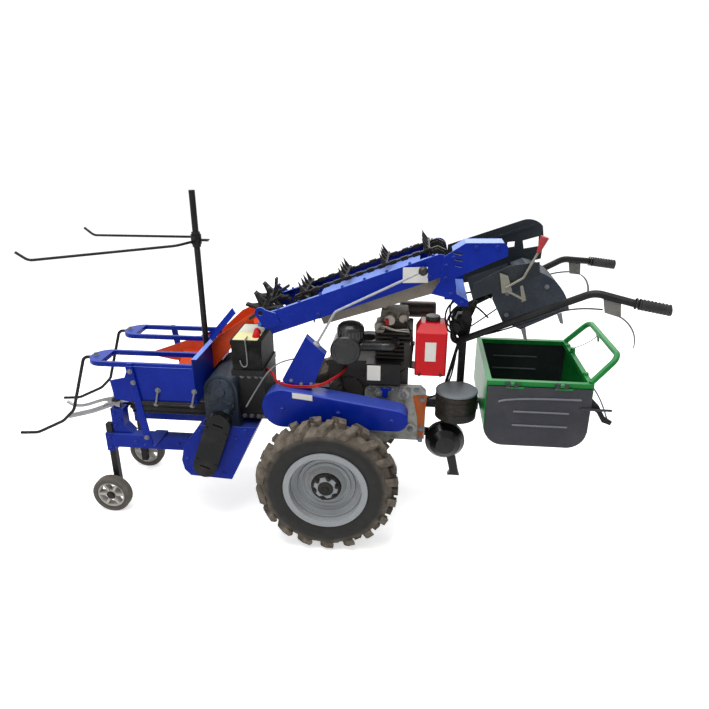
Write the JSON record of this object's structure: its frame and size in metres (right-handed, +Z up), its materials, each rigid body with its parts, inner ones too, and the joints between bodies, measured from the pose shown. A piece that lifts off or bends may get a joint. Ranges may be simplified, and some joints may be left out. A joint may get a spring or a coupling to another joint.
{
  "type": "corn reaper",
  "caption": "Walk-behind corn reaper: a gathering head with snapping rolls, a chopper, an elevator to a rear basket, and an open engine on a driven axle.",
  "frame": {"origin": "on the ground under the centre of the machine's bounding box", "axes": "+X towards the rear, where the handlebars are, +Y towards the machine's right, +Z up"},
  "size_m": [2.6655, 0.8, 1.45],
  "materials": {
    "tyre_rubber": "dusty agricultural tyre",
    "wheel_paint": "silver enamel, dusty",
    "gauge_rubber": "worn solid rubber",
    "gauge_spokes": "light grey cast wheel",
    "blue_paint": "gloss enamel",
    "orange_paint": "gloss enamel",
    "black_paint": "satin enamel",
    "green_paint": "gloss enamel",
    "grey_paint": "satin enamel",
    "bare_steel": "ground and worn",
    "galvanised": "dusty galvanised sheet",
    "dark_steel": "dark worn bar",
    "cast_grey": "painted casting, blue grey",
    "cast_dark": "oily casting",
    "cast_silver": "rough silver casting",
    "finger_rubber": "moulded",
    "grip_rubber": "moulded",
    "battery_case": "moulded",
    "tank_red": "moulded",
    "cleaner_black": "moulded",
    "rust_orange": "rusty plate"
  },
  "bodies": {
    "chassis": {"gauge_leg_left": "black_paint", "gauge_leg_right": "black_paint", "head_frame_left": "blue_paint", "head_frame_right": "blue_paint", "divider_rod_left": "black_paint", "divider_rod_right": "black_paint", "divider_rails_left": "blue_paint", "divider_rails_right": "blue_paint", "trough_shell": "blue_paint", "trough_lining": "orange_paint", "head_gearbox": "cast_grey", "gear_housing": "cast_dark", "battery_tray": "black_paint", "battery": "battery_case", "chopper_housing": "blue_paint", "chopper_belt_cover": "black_paint", "mast": "black_paint", "elevator_bed": "blue_paint", "elevator_pan": "galvanised", "elevator_chain": "dark_steel", "elevator_head": "blue_paint", "discharge_chute": "black_paint", "discharge_hood": "grey_paint", "main_frame": "black_paint", "transmission": "cast_silver", "belt_guard": "blue_paint", "engine": "cast_dark", "air_cleaner": "cleaner_black", "muffler": "dark_steel", "control_box": "black_paint", "fuel_tank": "tank_red", "lever_console": "blue_paint", "shift_lever": "bare_steel", "side_bracket": "rust_orange", "gear_lever": "galvanised", "clutch_lever_left": "galvanised", "clutch_lever_right": "galvanised", "handle_frame": "black_paint", "grip_left": "grip_rubber", "grip_right": "grip_rubber", "rear_can": "black_paint", "rear_bowl": "black_paint", "basket_tub": "green_paint", "basket_panel": "grey_paint"},
    "drive_wheel_left": {"drive_tyre_left": "tyre_rubber", "drive_rim_left": "wheel_paint"},
    "drive_wheel_right": {"drive_tyre_right": "tyre_rubber", "drive_rim_right": "wheel_paint"},
    "gauge_wheel_left": {"gauge_tyre_left": "gauge_rubber", "gauge_rim_left": "gauge_spokes"},
    "gauge_wheel_right": {"gauge_tyre_right": "gauge_rubber", "gauge_rim_right": "gauge_spokes"},
    "roll_left": {"snapping_roll_left": "dark_steel"},
    "roll_right": {"snapping_roll_right": "dark_steel"},
    "star": {"star_wheel": "bare_steel"},
    "chopper": {"chopper_rotor": "dark_steel"},
    "impeller": {"feed_impeller": "finger_rubber"},
    "door": {"basket_door": "grey_paint"}
  },
  "joints": [
    {"name": "drive_wheel_left_spin", "type": "hinge", "parent": "chassis", "child": "drive_wheel_left", "pos_m": [0.1025, -0.334, 0.3], "axis": [0, 1, 0], "continuous": true},
    {"name": "drive_wheel_right_spin", "type": "hinge", "parent": "chassis", "child": "drive_wheel_right", "pos_m": [0.1025, 0.334, 0.3], "axis": [0, 1, 0], "continuous": true},
    {"name": "gauge_wheel_left_spin", "type": "hinge", "parent": "chassis", "child": "gauge_wheel_left", "pos_m": [-0.9315, -0.197, 0.0885], "axis": [0, 1, 0], "continuous": true},
    {"name": "gauge_wheel_right_spin", "type": "hinge", "parent": "chassis", "child": "gauge_wheel_right", "pos_m": [-0.9315, 0.197, 0.0885], "axis": [0, 1, 0], "continuous": true},
    {"name": "roll_left_spin", "type": "hinge", "parent": "chassis", "child": "roll_left", "pos_m": [-0.6675, -0.048, 0.485], "axis": [1, 0, 0], "continuous": true},
    {"name": "roll_right_spin", "type": "hinge", "parent": "chassis", "child": "roll_right", "pos_m": [-0.6675, 0.048, 0.485], "axis": [1, 0, 0], "continuous": true},
    {"name": "star_spin", "type": "hinge", "parent": "chassis", "child": "star", "pos_m": [-0.8825, -0.125, 0.536], "axis": [0, 0, 1], "continuous": true},
    {"name": "chopper_spin", "type": "hinge", "parent": "chassis", "child": "chopper", "pos_m": [-0.4375, 0, 0.318], "axis": [0, 1, 0], "continuous": true},
    {"name": "impeller_spin", "type": "hinge", "parent": "chassis", "child": "impeller", "pos_m": [-0.18293, 0, 0.98512], "axis": [0, 1, 0], "continuous": true},
    {"name": "door_hinge", "type": "hinge", "parent": "chassis", "child": "door", "pos_m": [0.9425, -0.257, 0.756], "axis": [-1, 0, 0], "range_deg": [0, 100]}
  ],
  "couplings": [
    {"joint": "roll_right_spin", "follows": "roll_left_spin", "ratio": -1}
  ]
}
